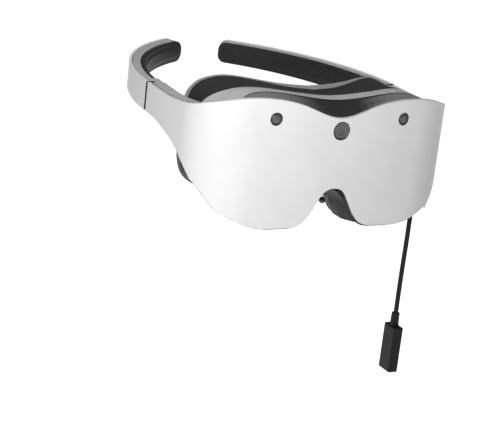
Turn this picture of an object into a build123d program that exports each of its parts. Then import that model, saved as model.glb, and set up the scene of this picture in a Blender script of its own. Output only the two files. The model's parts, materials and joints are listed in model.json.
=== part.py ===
from build123d import *
import math
import os

os.makedirs("parts", exist_ok=True)

# A head-worn virtual reality headset with two folding temples and a short cord.
# X runs to the wearer's left, Y to the back of the head, Z up. The origin lies
# between the wearer's eyes. Profiles are drawn from the middle of the front
# panel's outer face, which lies at PANEL_Y, PANEL_Z.

# ------------------------------------------------------------ driving sizes
PANEL_Y = -44.0
PANEL_Z = 16.0
EYE_HEIGHT = -PANEL_Z  # the eye line, measured from the middle of the panel

# The visor's plan, as tangent arcs from the middle outwards: radius, degrees
VISOR_ARCS = ((440.0, 6.6), (48.0, 18.4), (27.5, 61.6), (500.0, 5.6))
PANEL_WALL = 1.6
RIM_GAP = 0.6
RIM_WALL = 0.9
HOUSING_INSET = 3.5  # plan distance from the panel's outer face to the housing

HINGE_Y = 80.0
SEAM_HALF = 0.45
PIVOT_X = 74.2
KNUCKLE_R = 2.4
POCKET_R = 2.8
PIN_R = 1.0
KNUCKLE_Z = 3.6
KNUCKLE_GAP = 0.25

TEMPLE_R = 134.0
TEMPLE_SWEEP = 58.4
TEMPLE_WALL = 1.7
TEMPLE_DEPTH = 10.4
PAD_DEPTH = 3.6
PAD_START = 4.0
PAD_SWEEP = 58.4
TEMPLE_TOP = 8.6
TEMPLE_FOOT = -7.7
TOP_RISE = 0.035
FOOT_RISE = 0.055

EYE_X = 32.0
IPD_TRAVEL = 3.0
BARREL_R = 20.5
BARREL_WALL = 1.2
LENS_R = 18.0
RING_R = 21.4

PLATE_FRONT = 19.5
PLATE_WALL = 2.0
MASK_WALL = 1.8
SPLIT_Z = -10.0
ROOT_INSET = 3.2
NOSE_WALL = 1.2
BUMPER_WALL = 0.35

ROD_R = 1.0
ROD_Z = 6.8
ROD_Y = (10.5, 16.5)
ROD_HALF = 54.5
RUN_CLEAR = 0.05
GEAR_MODULE = 0.5
GEAR_TEETH = 12
GEAR_Y = 13.5
RACK_Z = 9.4
RACK_DEPTH = 1.8
PINION_PIN_R = 0.8
BRIDGE_Z = 11.9
BRIDGE_TOP = 13.0
HOLDER_X = 54.8
HOLDER_WIDTH = 3.2
LUG_X = 65.5
LUG_Z = (0.0, -24.0)
LUG_SIZE = (9.0, 5.0)
LUG_FRONT = 15.0
SCREW_R = 0.9

CENTRE_CAMERA_R = 5.2
SIDE_CAMERA_R = 3.6
SIDE_CAMERA_X = 39.9
SIDE_CAMERA_Z = 6.2
SIDE_CAMERA_TURN = 5.5

CORD_R = 1.4
CORD_X = 62.6
CORD_Y = 15.0
GLAND_R = 3.2
CORD_TOP = -46.5
CORD_END = -114.0
RELIEF_LENGTH = 8.0
PLUG_SIZE = (6.4, 12.0, 28.0)

# Outlines seen from the front: half of each, the other half is its mirror
PANEL_TOP = ((0, 6.9), (8, 8.1), (21.5, 13.0), (34, 16.0), (46, 17.0), (61, 15.8), (71, 13.3), (78.6, 10.8))
PANEL_FOOT = (
    (0, -32.4),
    (8.7, -38),
    (13, -45.7),
    (20.5, -53.4),
    (30, -54.6),
    (53, -52.6),
    (66, -46.7),
    (78.6, -31),
)
MASK_LINE = (
    (0, 15.4),
    (15, 16.3),
    (30, 17.8),
    (41, 18.5),
    (50, 17.7),
    (60, 14),
    (67.0, 8.4),
    (70.6, -1),
    (70.8, -12),
    (71, -26),
    (66, -38.5),
    (56.5, -46),
    (42, -50.5),
    (26, -51.3),
    (17, -48.6),
    (8.5, -37),
    (0, -31),
)

# Outlines seen from the side: depth behind the panel, height
SIDE_TOP = ((19, 10.7), (25, 9.3), (33, 8.3), (46, 7.4), (57, 7.4), (69, 7.9), (84, 8.7))
SIDE_FOOT = ((18, -34.0), (25, -26.0), (38, -16.9), (54, -11.4), (65, -8.9), (84, -7.7))

# Lines seen from above: half width, depth behind the panel
SEAM_LINE = ((0, 9.9), (12.4, 10.3), (24.8, 11.5), (37.2, 13.6), (46, 14.2), (53, 12.8), (60, 8.4))
FRAME_LINE = ((0, 19.2), (15, 19.5), (30, 21.0), (45, 24.9), (60, 32.2), (75, 40.8))
RIM_FRONT_LINE = ((0, 34.7), (15, 37.5), (30, 44.8), (45, 53.9), (58, 58.4), (67.5, 55.0), (75, 46.5))
RIM_REAR_LINE = ((0, 46.1), (15, 46.8), (30, 50.0), (45, 57.0), (58, 62.4), (68, 59.5), (76, 51.0))

# The top cover's stations: half width, front edge's depth and height, seam's
COVER_STATIONS = (
    (0, 3.4, 6.9, 9.7, 15.2),
    (11, 3.5, 9.6, 10.0, 15.8),
    (22, 4.0, 13.5, 11.0, 17.0),
    (34, 4.7, 16.1, 12.9, 18.2),
    (46, 5.7, 16.9, 13.9, 18.3),
    (56, 7.4, 16.3, 11.2, 15.9),
)
COVER_WALL = 1.4
SEAL_WIDTH = 1.0
SEAL_GAP = 0.1

# The nose tunnel's stations: depth, half width at the foot, crown, foot
NOSE_STATIONS = ((3.3, 19.0, -32.9, -53.2), (12.0, 15.6, -32.3, -53.8), (21.0, 14.2, -31.8, -52.9))


# ------------------------------------------------------------ shared planes
def plan(height):
    """The plan, looking down, at a height above the middle of the panel."""
    return Plane(origin=(0, PANEL_Y, PANEL_Z + height))


def front(depth):
    """The view from the front at a depth; it extrudes forwards."""
    return Plane(origin=(0, PANEL_Y + depth, PANEL_Z), x_dir=(1, 0, 0), z_dir=(0, -1, 0))


def side(offset):
    """The view from the wearer's left at an X; it extrudes towards +X."""
    return Plane(origin=(offset, PANEL_Y, PANEL_Z), x_dir=(0, 1, 0), z_dir=(1, 0, 0))


def place(x, depth, height):
    """A point from its X, its depth behind the panel and its height."""
    return (x, PANEL_Y + depth, PANEL_Z + height)


def save(part, name):
    part.label = name
    export_step(part, f"parts/{name}.step")


def save_pair(part, name):
    """Write the wearer's left piece and its mirror image."""
    save(part, f"{name}_left")
    save(mirror(part, about=Plane.YZ), f"{name}_right")


# ------------------------------------------------------------ shared outlines
def visor_line(inset):
    """Half of the visor's plan, a distance inside its outer face."""
    start = (0, inset)
    heading = (1, 0)
    for radius, turn in VISOR_ARCS:
        arc = JernArc(start=start, tangent=heading, radius=radius - inset, arc_size=turn)
        start = arc @ 1
        heading = arc % 1
    return start


def visor_band(inset, wall, low, high):
    """An upright wall that follows the visor's plan."""
    with BuildPart() as band:
        with BuildSketch(plan(low)):
            with BuildLine():
                outer_end = visor_line(inset)
                inner_end = visor_line(inset + wall)
                Line(outer_end, inner_end)
                mirror(about=Plane.YZ)
            make_face()
        extrude(amount=high - low)
    return band.part


def visor_inside(inset, low, high):
    """Everything behind a line inside the visor's outer face."""
    with BuildPart() as block:
        with BuildSketch(plan(low)):
            with BuildLine():
                end = visor_line(inset)
                mirror(about=Plane.YZ)
                Line(end, (-end.X, end.Y))
            make_face()
        extrude(amount=high - low)
    return block.part


def depth_slab(front_line, front_shift, rear_line, rear_shift, low, high):
    """The space between two lines seen from above, from one height to another."""
    near = [(x, y + front_shift) for x, y in front_line]
    far = [(x, y + rear_shift) for x, y in rear_line]
    with BuildPart() as slab:
        with BuildSketch(plan(low)):
            with BuildLine():
                Spline(*near, tangents=[(1, 0), (near[-1][0] - near[-2][0], near[-1][1] - near[-2][1])])
                Line(near[-1], far[-1])
                Spline(*far, tangents=[(1, 0), (far[-1][0] - far[-2][0], far[-1][1] - far[-2][1])])
                mirror(about=Plane.YZ)
            make_face()
        extrude(amount=high - low)
    return slab.part


def panel_outline(top_shift, foot_shift):
    """The panel's outline, seen from the front."""
    top = [(x, z + top_shift) for x, z in PANEL_TOP]
    foot = [(x, z + foot_shift) for x, z in PANEL_FOOT]
    with BuildSketch() as outline:
        with BuildLine():
            Spline(*top, tangents=[(1, 0), (3, -1)])
            Polyline(top[-1], (95, top[-1][1]), (95, foot[-1][1]), foot[-1])
            Spline(*foot, tangents=[(1, 0), (3, 4)])
            mirror(about=Plane.YZ)
        make_face()
    return outline.sketch


def side_outline(top_shift, foot_shift):
    """The visor's outline, seen from the side."""
    top = [(y, z + top_shift) for y, z in SIDE_TOP]
    foot = [(y, z + foot_shift) for y, z in SIDE_FOOT]
    with BuildSketch() as outline:
        with BuildLine():
            Spline(*top, tangents=[(4, -1), (15, 1)])
            Line(top[-1], foot[-1])
            Spline(*foot, tangents=[(3, 4), (15, 1)])
            Polyline(foot[0], (10.6, -43.6 + foot_shift), (6.0, -50.6 + foot_shift), (0, -64), (-8, -64))
            Polyline((-8, -64), (-8, 26), (0, 22), (13, 12.8 + top_shift), top[0])
        make_face()
    return outline.sketch


def cut_to_panel_outline(top_shift, foot_shift):
    """Keep what lies within both outlines of the visor."""
    with BuildSketch(front(90)) as face_view:
        add(panel_outline(top_shift, foot_shift))
    extrude(face_view.sketch, amount=100, mode=Mode.INTERSECT)
    with BuildSketch(side(-95)) as side_view:
        add(side_outline(top_shift, foot_shift))
    extrude(side_view.sketch, amount=190, mode=Mode.INTERSECT)


def drawn_in(points, inset):
    """Points moved square to their line, into the shape on their right."""
    moved = []
    for index, (x, z) in enumerate(points):
        before = points[max(index - 1, 0)]
        after = points[min(index + 1, len(points) - 1)]
        along = Vector(after[0] - before[0], after[1] - before[1]).normalized()
        if x == 0:
            along = Vector(1 if z > 0 else -1, 0)
        moved.append((x + inset * along.Y, z - inset * along.X))
    return moved


def mask_outline(inset):
    """The outline of the housing and the face mask, drawn in by an inset."""
    line = drawn_in(MASK_LINE, inset)
    with BuildSketch() as outline:
        with BuildLine():
            Spline(*line, tangents=[(1, 0), (-1, 0)])
            mirror(about=Plane.YZ)
        make_face()
    return outline.sketch


def mask_ring(near, far, inset, wall):
    """A ring of the mask's outline from one depth to another."""
    with BuildPart() as ring:
        with BuildSketch(front(far)):
            add(mask_outline(inset))
            add(mask_outline(inset + wall), mode=Mode.SUBTRACT)
        extrude(amount=far - near)
    return ring.part


def nose_arch(half, crown, foot, inset):
    """Points along the arch over the nose, drawn in by a wall."""
    arch = ((1.0, 0.0), (0.74, 0.30), (0.5, 0.69), (0.0, 1.0))
    right = [((half - inset) * u, foot + (crown - inset - foot) * v) for u, v in arch]
    return right + [(-x, z) for x, z in reversed(right[:-1])]


# ------------------------------------------------------------ front panel
def camera_places():
    """Where the three camera windows sit: name, radius, frame of the hole."""
    turn = math.radians(SIDE_CAMERA_TURN)
    spots = [("centre", CENTRE_CAMERA_R, Plane(place(0, 0, 0), x_dir=(1, 0, 0), z_dir=(0, -1, 0)))]
    for name, sign in (("left", 1), ("right", -1)):
        face = place(sign * SIDE_CAMERA_X, 1.85, SIDE_CAMERA_Z)
        normal = (sign * math.sin(turn), -math.cos(turn), 0)
        across = (math.cos(turn), sign * math.sin(turn), 0)
        spots.append((name, SIDE_CAMERA_R, Plane(face, x_dir=across, z_dir=normal)))
    return spots


def make_front_panel():
    with BuildPart() as panel:
        add(visor_band(0, PANEL_WALL, -58, 22))
        cut_to_panel_outline(0, 0)
        with BuildSketch(side(-95)):
            with Locations((HINGE_Y - SEAM_HALF + 10, 0)):
                Rectangle(20, 60)
        extrude(amount=190, mode=Mode.SUBTRACT)
        for name, radius, seat in camera_places():
            with BuildSketch(seat.offset(4)):
                Circle(radius)
            extrude(amount=-10, mode=Mode.SUBTRACT)
    return panel.part


front_panel = make_front_panel()
save(front_panel, "front_panel")


# ------------------------------------------------------------ rims and covers
def make_rim(wall, top_shift, foot_shift, low, high):
    """The strip inside the panel's edge, in front of the temple roots."""
    with BuildPart() as rim:
        add(visor_band(PANEL_WALL + RIM_GAP, wall, low, high))
        cut_to_panel_outline(top_shift, foot_shift)
        with BuildSketch(side(-95)):
            with Locations((21.5 + 40, 0)):
                Rectangle(80, 140)
        extrude(amount=190, mode=Mode.SUBTRACT)
        for name, radius, seat in camera_places():
            with BuildSketch(seat.offset(4)):
                Circle(radius + 1.2)
            extrude(amount=-12, mode=Mode.SUBTRACT)
    return rim.part


save(make_rim(RIM_WALL, 0.1, 0, -4, 22), "upper_liner")
save(make_rim(RIM_WALL, 0, -1.0, -58, -4.2), "lower_liner")


def cover_skin(front_edge, rear_edge):
    """The cover's curved skin between two distances from its seam."""
    with BuildPart() as skin:
        left = [(-x, *rest) for x, *rest in reversed(COVER_STATIONS[1:])]
        for x, near, near_z, far, far_z in left + list(COVER_STATIONS):
            with BuildSketch(side(x)):
                with BuildLine():
                    Polyline(
                        (near, near_z),
                        (far, far_z),
                        (far, far_z - COVER_WALL),
                        (near, near_z - COVER_WALL),
                        close=True,
                    )
                make_face()
        loft()
        add(depth_slab(SEAM_LINE, front_edge, SEAM_LINE, rear_edge, -5, 25), mode=Mode.INTERSECT)
    return skin.part


def make_top_cover():
    """The cover over the nose, with a row of vents on each side."""
    with BuildPart() as cover:
        add(cover_skin(-20, -SEAL_GAP - SEAL_WIDTH - 0.05))
        for step in range(6):
            x = 12.5 + 4.2 * step
            depth = 4.9 + 0.05 * step + 0.002 * x * x
            with BuildSketch(plan(25)):
                with Locations((x, depth), (-x, depth)):
                    SlotOverall(3.1, 1.0)
            extrude(amount=-30, mode=Mode.SUBTRACT)
    return cover.part


save(make_top_cover(), "top_cover")
save(cover_skin(-SEAL_GAP - SEAL_WIDTH, -SEAL_GAP), "cover_seal")


# ------------------------------------------------------------ main frame


def add_lugs(heights):
    """The lugs that the lens plate is screwed to, on both sides."""
    with BuildSketch(front(PLATE_FRONT)) as lugs:
        for height in heights:
            with Locations((LUG_X, height), (-LUG_X, height)):
                Rectangle(*LUG_SIZE)
    extrude(lugs.sketch, amount=PLATE_FRONT - LUG_FRONT)
    with BuildSketch(front(PLATE_FRONT)) as holes:
        for height in heights:
            with Locations((LUG_X, height), (-LUG_X, height)):
                Circle(SCREW_R)
    extrude(holes.sketch, amount=4.2, mode=Mode.SUBTRACT)


def temple_root():
    """The side rail from the housing back to the hinge, wearer's left."""
    root_start = 22
    root_end = HINGE_Y - SEAM_HALF
    height = TEMPLE_TOP - TEMPLE_FOOT
    with BuildPart() as root:
        add(visor_band(ROOT_INSET, TEMPLE_DEPTH - ROOT_INSET, SPLIT_Z, 12))
        with BuildSketch(plan(-20)):
            with Locations((60, (root_start + root_end) / 2)):
                Rectangle(60, root_end - root_start)
        extrude(amount=40, mode=Mode.INTERSECT)
        with BuildSketch(side(-95)):
            add(side_outline(-0.05, 0.3))
        extrude(amount=190, mode=Mode.INTERSECT)
        with BuildSketch(plan(TEMPLE_FOOT + 0.3)):
            with Locations((PIVOT_X, HINGE_Y)):
                Circle(KNUCKLE_R)
        extrude(amount=height - 0.6)
        with BuildSketch(plan(-KNUCKLE_Z - KNUCKLE_GAP)):
            with Locations((PIVOT_X, HINGE_Y)):
                Circle(POCKET_R)
            with Locations((PIVOT_X - 4, HINGE_Y)):
                Rectangle(8, 2 * POCKET_R)
        extrude(amount=2 * (KNUCKLE_Z + KNUCKLE_GAP), mode=Mode.SUBTRACT)
        with BuildSketch(plan(TEMPLE_FOOT)):
            with Locations((PIVOT_X, HINGE_Y)):
                Circle(PIN_R)
        extrude(amount=height - 2.0, mode=Mode.SUBTRACT)
    return root.part


def make_main_frame():
    """The light upper housing with both temple roots."""
    with BuildPart() as frame:
        add(mask_ring(2, 46, 0, MASK_WALL))
        add(visor_inside(HOUSING_INSET, -60, 30), mode=Mode.INTERSECT)
        add(depth_slab(FRAME_LINE, -60, FRAME_LINE, 0, SPLIT_Z, 30), mode=Mode.INTERSECT)
        add(depth_slab(SEAM_LINE, -30, SEAM_LINE, 0, 2, 30), mode=Mode.SUBTRACT)
        root = temple_root()
        add(root)
        add(mirror(root, about=Plane.YZ, mode=Mode.PRIVATE))
        add_lugs(LUG_Z[:1])
    return frame.part


save(make_main_frame(), "main_frame")


def make_lower_housing():
    """The dark lower half of the housing, with the cord's gland hole."""
    with BuildPart() as housing:
        add(mask_ring(2, 46, 0, MASK_WALL))
        add(visor_inside(HOUSING_INSET, -60, 30), mode=Mode.INTERSECT)
        add(depth_slab(FRAME_LINE, -60, FRAME_LINE, 0, -60, SPLIT_Z - 0.15), mode=Mode.INTERSECT)
        add_lugs(LUG_Z[1:])
        with BuildSketch(plan(CORD_TOP)):
            with Locations((CORD_X, CORD_Y)):
                Circle(GLAND_R)
        extrude(amount=14, mode=Mode.SUBTRACT)
    return housing.part


save(make_lower_housing(), "lower_housing")


# ------------------------------------------------------------ optics


def rod_holes(radius, x_low, length):
    """Cut the two guide rods' holes along X."""
    with BuildSketch(side(x_low)) as holes:
        for depth in ROD_Y:
            with Locations((depth, ROD_Z)):
                Circle(radius)
    extrude(holes.sketch, amount=length, mode=Mode.SUBTRACT)


def make_lens_plate():
    """The plate that carries the optics, with its rod holders and bridge."""
    with BuildPart() as plate:
        with BuildSketch(front(PLATE_FRONT + PLATE_WALL)):
            add(mask_outline(MASK_WALL + 0.5))
            with Locations((EYE_X, EYE_HEIGHT), (-EYE_X, EYE_HEIGHT)):
                SlotCenterToCenter(2 * IPD_TRAVEL + 0.6, 2 * (BARREL_R + 0.5), mode=Mode.SUBTRACT)
            for height in LUG_Z:
                with Locations((LUG_X, height), (-LUG_X, height)):
                    Circle(SCREW_R + 0.15, mode=Mode.SUBTRACT)
        extrude(amount=PLATE_WALL)
        with BuildSketch(front(PLATE_FRONT)):
            with Locations((HOLDER_X, ROD_Z), (-HOLDER_X, ROD_Z)):
                Rectangle(HOLDER_WIDTH, 4.4)
        extrude(amount=PLATE_FRONT - 8.8)
        with BuildSketch(front(PLATE_FRONT)):
            with Locations((0, (BRIDGE_Z + BRIDGE_TOP) / 2)):
                Rectangle(7, BRIDGE_TOP - BRIDGE_Z)
        extrude(amount=PLATE_FRONT - 11.0)
        rod_holes(ROD_R, -ROD_HALF, 2 * ROD_HALF)
        with BuildSketch(plan(BRIDGE_Z - 1)):
            with Locations((0, GEAR_Y)):
                Circle(PINION_PIN_R)
        extrude(amount=3, mode=Mode.SUBTRACT)
    return plate.part


save(make_lens_plate(), "lens_plate")

with BuildPart() as ipd_rods:
    with BuildSketch(side(-ROD_HALF)):
        for depth in ROD_Y:
            with Locations((depth, ROD_Z)):
                Circle(ROD_R)
    extrude(amount=2 * ROD_HALF)
save(ipd_rods.part, "ipd_rods")

with BuildPart() as pinion_pin:
    with BuildSketch(plan(8.8)):
        with Locations((0, GEAR_Y)):
            Circle(PINION_PIN_R)
    extrude(amount=BRIDGE_TOP - 8.8)
    with BuildSketch(plan(8.3)):
        with Locations((0, GEAR_Y)):
            Circle(1.5)
    extrude(amount=0.7)
save(pinion_pin.part, "pinion_pin")

GEAR_PITCH = math.pi * GEAR_MODULE
GEAR_PITCH_R = GEAR_MODULE * GEAR_TEETH / 2
TOOTH_ADD = 0.75 * GEAR_MODULE
TOOTH_DED = 1.05 * GEAR_MODULE
TOOTH_TIP = 0.25 * GEAR_PITCH
TOOTH_ROOT = 0.58 * GEAR_PITCH


def tooth(base):
    """A tooth that points along +X from its pitch line at a distance."""
    low = base - TOOTH_DED
    high = base + TOOTH_ADD
    Polygon(
        (low - 0.3, -TOOTH_ROOT / 2),
        (low, -TOOTH_ROOT / 2),
        (high, -TOOTH_TIP / 2),
        (high, TOOTH_TIP / 2),
        (low, TOOTH_ROOT / 2),
        (low - 0.3, TOOTH_ROOT / 2),
        align=None,
    )


with BuildPart() as ipd_pinion:
    with BuildSketch(plan(RACK_Z)):
        with Locations((0, GEAR_Y)):
            Circle(GEAR_PITCH_R - TOOTH_DED)
            with PolarLocations(0, GEAR_TEETH):
                tooth(GEAR_PITCH_R)
            Circle(PINION_PIN_R + RUN_CLEAR, mode=Mode.SUBTRACT)
    extrude(amount=RACK_DEPTH)
save(ipd_pinion.part, "ipd_pinion")

EAR_HALF = 7.0
EAR_FRONT = 8.6
EAR_REAR = 18.4
EAR_FOOT = 3.4

with BuildPart() as ipd_rack:
    with BuildSketch(plan(RACK_Z)):
        pitch_y = GEAR_Y - GEAR_PITCH_R
        root_y = pitch_y - TOOTH_DED
        tip_x = -7.0
        end_x = EYE_X + EAR_HALF
        with Locations(((tip_x + end_x) / 2, (EAR_FRONT + root_y) / 2)):
            Rectangle(end_x - tip_x, root_y - EAR_FRONT)
        for step in range(-4, 4):
            with Locations(Location(((step + 0.5) * GEAR_PITCH, pitch_y, 0), 90)):
                tooth(0)
    extrude(amount=RACK_DEPTH)
save(ipd_rack.part, "ipd_rack_left")
pinion_axis = Axis(place(0, GEAR_Y, 0), (0, 0, 1))
save(ipd_rack.part.rotate(pinion_axis, 180), "ipd_rack_right")


# Each eye's pieces, drawn for the wearer's left
def eye_ring(rear, length, outer, inner):
    """A tube on the eye's axis that ends at a depth."""
    with BuildSketch(front(rear)) as ring:
        with Locations((EYE_X, EYE_HEIGHT)):
            Circle(outer)
            Circle(inner, mode=Mode.SUBTRACT)
    extrude(ring.sketch, amount=length)


def eye_lens(radius, near, far, near_bulge, far_bulge):
    """A round lens with two curved faces on the eye's axis."""
    with BuildPart() as lens:
        with BuildSketch(side(EYE_X)):
            with BuildLine():
                Line((near - near_bulge, EYE_HEIGHT), (far + far_bulge, EYE_HEIGHT))
                TangentArc((far + far_bulge, EYE_HEIGHT), (far, EYE_HEIGHT + radius), tangent=(0, 1))
                Line((far, EYE_HEIGHT + radius), (near, EYE_HEIGHT + radius))
                TangentArc((near - near_bulge, EYE_HEIGHT), (near, EYE_HEIGHT + radius), tangent=(0, 1))
            make_face()
        revolve(axis=Axis(place(EYE_X, 0, EYE_HEIGHT), (0, 1, 0)))
    return lens.part


BARREL_FRONT = 8.0
BARREL_REAR = 23.4
BARREL_BORE = BARREL_R - BARREL_WALL
CELL_R = BARREL_BORE - 0.1
RING_REAR = 28.4

with BuildPart() as lens_carriage:
    eye_ring(BARREL_REAR, BARREL_REAR - BARREL_FRONT - 0.6, BARREL_R, BARREL_BORE)
    eye_ring(14.9, 1.0, BARREL_BORE + 0.2, 17.2)
    with BuildSketch(front(BARREL_FRONT + 1.2)):
        with Locations((EYE_X, EYE_HEIGHT)):
            RectangleRounded(37, 37, 3)
            Circle(17.0, mode=Mode.SUBTRACT)
    extrude(amount=1.2)
    with BuildSketch(front(BARREL_FRONT + 1.2)):
        with Locations((EYE_X, EYE_HEIGHT)):
            Circle(BARREL_R)
            Circle(17.0, mode=Mode.SUBTRACT)
    extrude(amount=0.6)
    with BuildSketch(front(EAR_REAR)):
        with Locations((EYE_X, (EAR_FOOT + RACK_Z) / 2)):
            Rectangle(2 * EAR_HALF, RACK_Z - EAR_FOOT)
    extrude(amount=EAR_REAR - EAR_FRONT)
    rod_holes(ROD_R + RUN_CLEAR, EYE_X - EAR_HALF - 1, 2 * EAR_HALF + 2)
save_pair(lens_carriage.part, "lens_carriage")

with BuildPart() as display:
    with BuildSketch(front(BARREL_FRONT)):
        with Locations((EYE_X, EYE_HEIGHT)):
            RectangleRounded(36, 36, 2)
    extrude(amount=1.4)
save_pair(display.part, "display")

save_pair(eye_lens(BARREL_BORE - 0.1, 11.2, 13.7, 1.4, 0.1), "field_lens")

with BuildPart() as eyepiece_cell:
    eye_ring(26.4, 9.9, CELL_R, LENS_R + 0.1)
    eye_ring(19.4, 1.0, LENS_R + 0.3, LENS_R - 0.9)
save_pair(eyepiece_cell.part, "eyepiece_cell")
save_pair(eye_lens(LENS_R, 21.4, 23.0, 1.8, 1.6), "eyepiece_lens")

with BuildPart() as diopter_ring:
    eye_ring(24.2, 2.4, RING_R, BARREL_R + 0.2)
    eye_ring(RING_REAR, RING_REAR - 23.7, RING_R, CELL_R + 0.2)
    with BuildSketch(front(RING_REAR)):
        with Locations((EYE_X, EYE_HEIGHT)):
            with PolarLocations(RING_R, 36):
                Circle(0.45)
    extrude(amount=3.4, mode=Mode.SUBTRACT)
save_pair(diopter_ring.part, "diopter_ring")


# ------------------------------------------------------------ electronics
def make_camera(name, radius, seat):
    """A window set in the panel and the camera behind it."""
    with BuildPart() as window:
        with BuildSketch(seat.offset(-1.35)):
            Circle(radius - 0.1)
        extrude(amount=1.2)
    save(window.part, f"camera_window_{name}")
    with BuildPart() as module:
        with BuildSketch(seat.offset(-4.4)):
            Circle(0.66 * radius)
        extrude(amount=2.8)
        with BuildSketch(seat.offset(-5.6 - 0.2 * (radius - SIDE_CAMERA_R))):
            Rectangle(1.75 * radius, 1.75 * radius)
        extrude(amount=1.7)
    save(module.part, f"camera_module_{name}")


for camera_name, camera_radius, camera_seat in camera_places():
    make_camera(camera_name, camera_radius, camera_seat)

with BuildPart() as heat_spreader:
    with BuildSketch(front(6.4)):
        with Locations((0, -15.5)):
            RectangleRounded(92, 34, 2)
            with Locations((0, 16)):
                Rectangle(12, 14, mode=Mode.SUBTRACT)
            with Locations((0, -17)):
                Rectangle(28, 8, mode=Mode.SUBTRACT)
    extrude(amount=0.4)
save(heat_spreader.part, "heat_spreader")

BOARD_Z = -41.0
with BuildPart() as circuit_board:
    with BuildSketch(plan(BOARD_Z)):
        with Locations((38, 12.6)):
            RectangleRounded(34, 10.6, 1)
    extrude(amount=1.2)
    with BuildSketch(plan(BOARD_Z + 1.2)):
        with Locations((30, 12.6)):
            Rectangle(7, 7)
        with Locations((39, 12.6)):
            Rectangle(5, 6)
        with Locations((47, 13.0)):
            Rectangle(4, 4)
    extrude(amount=0.9)
save(circuit_board.part, "main_board")
save(mirror(circuit_board.part, about=Plane.YZ), "sensor_board")

with BuildPart() as frame_screws:
    for height in LUG_Z:
        for x in (LUG_X, -LUG_X):
            with BuildSketch(front(PLATE_FRONT + PLATE_WALL + 1.0)):
                with Locations((x, height)):
                    Circle(1.7)
            extrude(amount=1.0)
            with BuildSketch(front(PLATE_FRONT + PLATE_WALL + 0.1)):
                with Locations((x, height)):
                    Circle(SCREW_R - 0.05)
            extrude(amount=5.6)
save(frame_screws.part, "frame_screws")


# ------------------------------------------------------------ face mask
def cut_nose_way():
    """Clear the way for the bridge of the nose behind the housing."""
    with BuildSketch(front(75)) as way:
        with BuildLine():
            Spline((21, -56), (15, -38), (0, -13), (-15, -38), (-21, -56))
            Line((-21, -56), (21, -56))
        make_face()
    extrude(way.sketch, amount=75 - 23.4, mode=Mode.SUBTRACT)


with BuildPart() as gasket_frame:
    add(mask_ring(2, 70, 0, MASK_WALL))
    add(depth_slab(FRAME_LINE, 0.15, FRAME_LINE, 3.2, -60, 30), mode=Mode.INTERSECT)
    cut_nose_way()
save(gasket_frame.part, "gasket_frame")

with BuildPart() as face_gasket:
    add(mask_ring(2, 74, 0.2, 1.5))
    add(depth_slab(FRAME_LINE, 3.4, RIM_FRONT_LINE, -0.1, -60, 30), mode=Mode.INTERSECT)
    cut_nose_way()
save(face_gasket.part, "face_gasket")

CUSHION_OPENING = ((0, 8.4), (30, 10.6), (48, 9.8), (59.5, 2), (62.5, -14), (57, -31), (42, -42), (24, -42.5))

with BuildPart() as face_cushion:
    with BuildSketch(front(75)):
        add(mask_outline(0))
        with BuildLine():
            Spline(*CUSHION_OPENING, tangents=[(1, 0), (-1, 0.3)])
            Line(CUSHION_OPENING[-1], (0, -30))
            mirror(about=Plane.YZ)
        make_face(mode=Mode.SUBTRACT)
    extrude(amount=75)
    add(depth_slab(RIM_FRONT_LINE, 0.1, RIM_REAR_LINE, 0, -60, 30), mode=Mode.INTERSECT)
    cut_nose_way()
save(face_cushion.part, "face_cushion")

with BuildPart() as nose_seal:
    for depth, half, crown, foot in NOSE_STATIONS:
        with BuildSketch(front(depth)):
            with BuildLine():
                outer_arch = Spline(*nose_arch(half, crown, foot, 0))
                inner_arch = Spline(*nose_arch(half, crown, foot, NOSE_WALL))
                Line(outer_arch @ 0, inner_arch @ 0)
                Line(outer_arch @ 1, inner_arch @ 1)
            make_face()
    loft(ruled=True)
save(nose_seal.part, "nose_seal")

PAD_PLACE = (15.1, 28.0, -48.8)
PAD_TILT = 28.0
PAD_BALL = (13.6, 33.8, -49.3)
PAD_ARM_START = (18.0, PLATE_FRONT + PLATE_WALL + 0.1, -45.2)
PAD_BALL_R = 2.0
PAD_WIRE_R = 0.7
tilt = math.radians(PAD_TILT)
pad_normal = (-math.cos(tilt), 0, -math.sin(tilt))

with BuildPart() as nose_pad:
    with BuildSketch(Plane(place(*PAD_PLACE), x_dir=(0, 1, 0), z_dir=pad_normal)) as pad_face:
        Ellipse(4.2, 6.0)
    extrude(amount=1.2, both=True)
    fillet(nose_pad.edges(), radius=1.0)
save_pair(nose_pad.part, "nose_pad")

with BuildLine() as nose_wire:
    FilletPolyline(
        place(*PAD_ARM_START),
        place(19.0, 28.5, -45.2),
        place(18.0, 36.0, -46.2),
        place(*PAD_BALL),
        radius=2.2,
    )

with BuildPart() as nose_arm:
    with BuildSketch(Plane(nose_wire.line @ 0, z_dir=nose_wire.line % 0)):
        Circle(PAD_WIRE_R)
    sweep(path=nose_wire.line)
    with BuildSketch(Plane(place(*PAD_BALL))):
        with BuildLine():
            CenterArc((0, 0), PAD_BALL_R, -90, 180)
            Line((0, -PAD_BALL_R), (0, PAD_BALL_R))
        make_face()
    revolve(axis=Axis(place(*PAD_BALL), (0, 1, 0)))
save_pair(nose_arm.part, "nose_arm")


# ------------------------------------------------------------ temples
TEMPLE_CENTRE = (82.05 - TEMPLE_R, HINGE_Y)


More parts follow.
